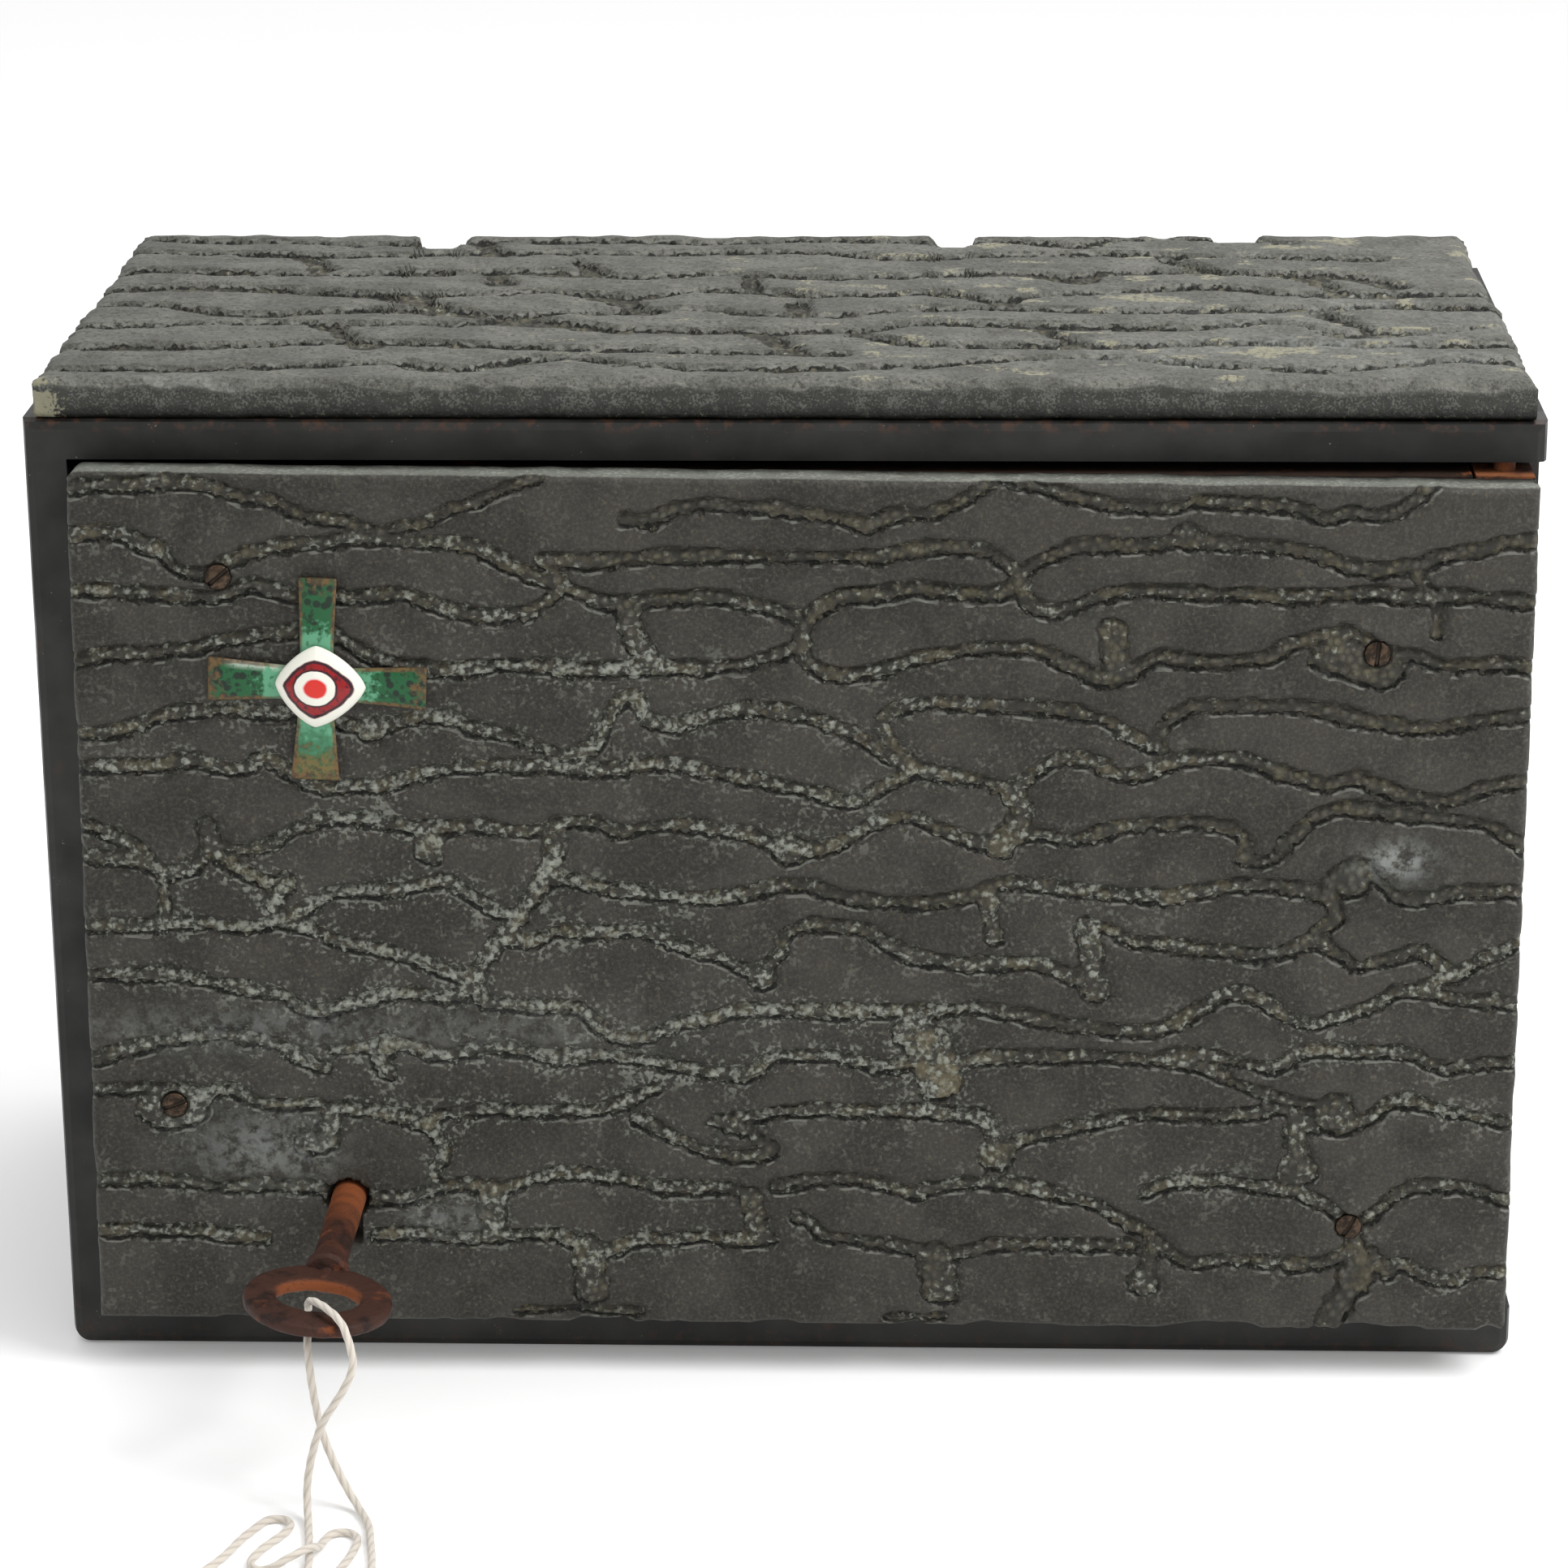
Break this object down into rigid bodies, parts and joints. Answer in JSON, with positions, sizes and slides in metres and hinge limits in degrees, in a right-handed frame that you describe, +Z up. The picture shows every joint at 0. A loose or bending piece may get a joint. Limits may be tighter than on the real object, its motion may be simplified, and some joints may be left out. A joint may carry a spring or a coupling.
{
  "type": "altar tabernacle",
  "caption": "Small steel altar tabernacle with a cast bronze slab on top and on its hinged, lockable door, an enamelled cross, and a key on a string.",
  "frame": {"origin": "middle of the case's footprint, on the ground", "axes": "+X to the right seen from the front, +Y to the back, +Z up"},
  "size_m": [0.42, 0.3774, 0.2912],
  "materials": {
    "blackened_steel": "blackened steel sheet, satin, with rust at the edges",
    "cast_bronze": "dark patinated cast bronze, grainy, with pale green deposits in the channels",
    "rusty_steel": "rusted steel",
    "screw_bronze": "tarnished bronze",
    "key_iron": "rusted iron, orange brown",
    "enamelled_copper": "mottled green enamel on copper",
    "cross_glass": "opaque layered glass: white, dark red, white, red",
    "cotton_string": "twisted off-white cotton"
  },
  "bodies": {
    "case": {"case": "blackened_steel", "top_slab": "cast_bronze"},
    "door": {"door_slab": "cast_bronze", "door_tray": "rusty_steel", "hinge_stile": "rusty_steel", "lock_case": "rusty_steel", "key": "key_iron", "cross_plate": "enamelled_copper", "cross_glass": "cross_glass", "screw_top_left": "screw_bronze", "screw_top_right": "screw_bronze", "screw_bottom_left": "screw_bronze", "screw_bottom_right": "screw_bronze", "string_over_rim": "cotton_string", "string_return": "cotton_string", "string_coil": "cotton_string"}
  },
  "joints": [
    {"name": "door_hinge", "type": "hinge", "parent": "case", "child": "door", "pos_m": [0.199, -0.0945, 0.14], "axis": [0, 0, 1], "range_deg": [0, 100]}
  ]
}
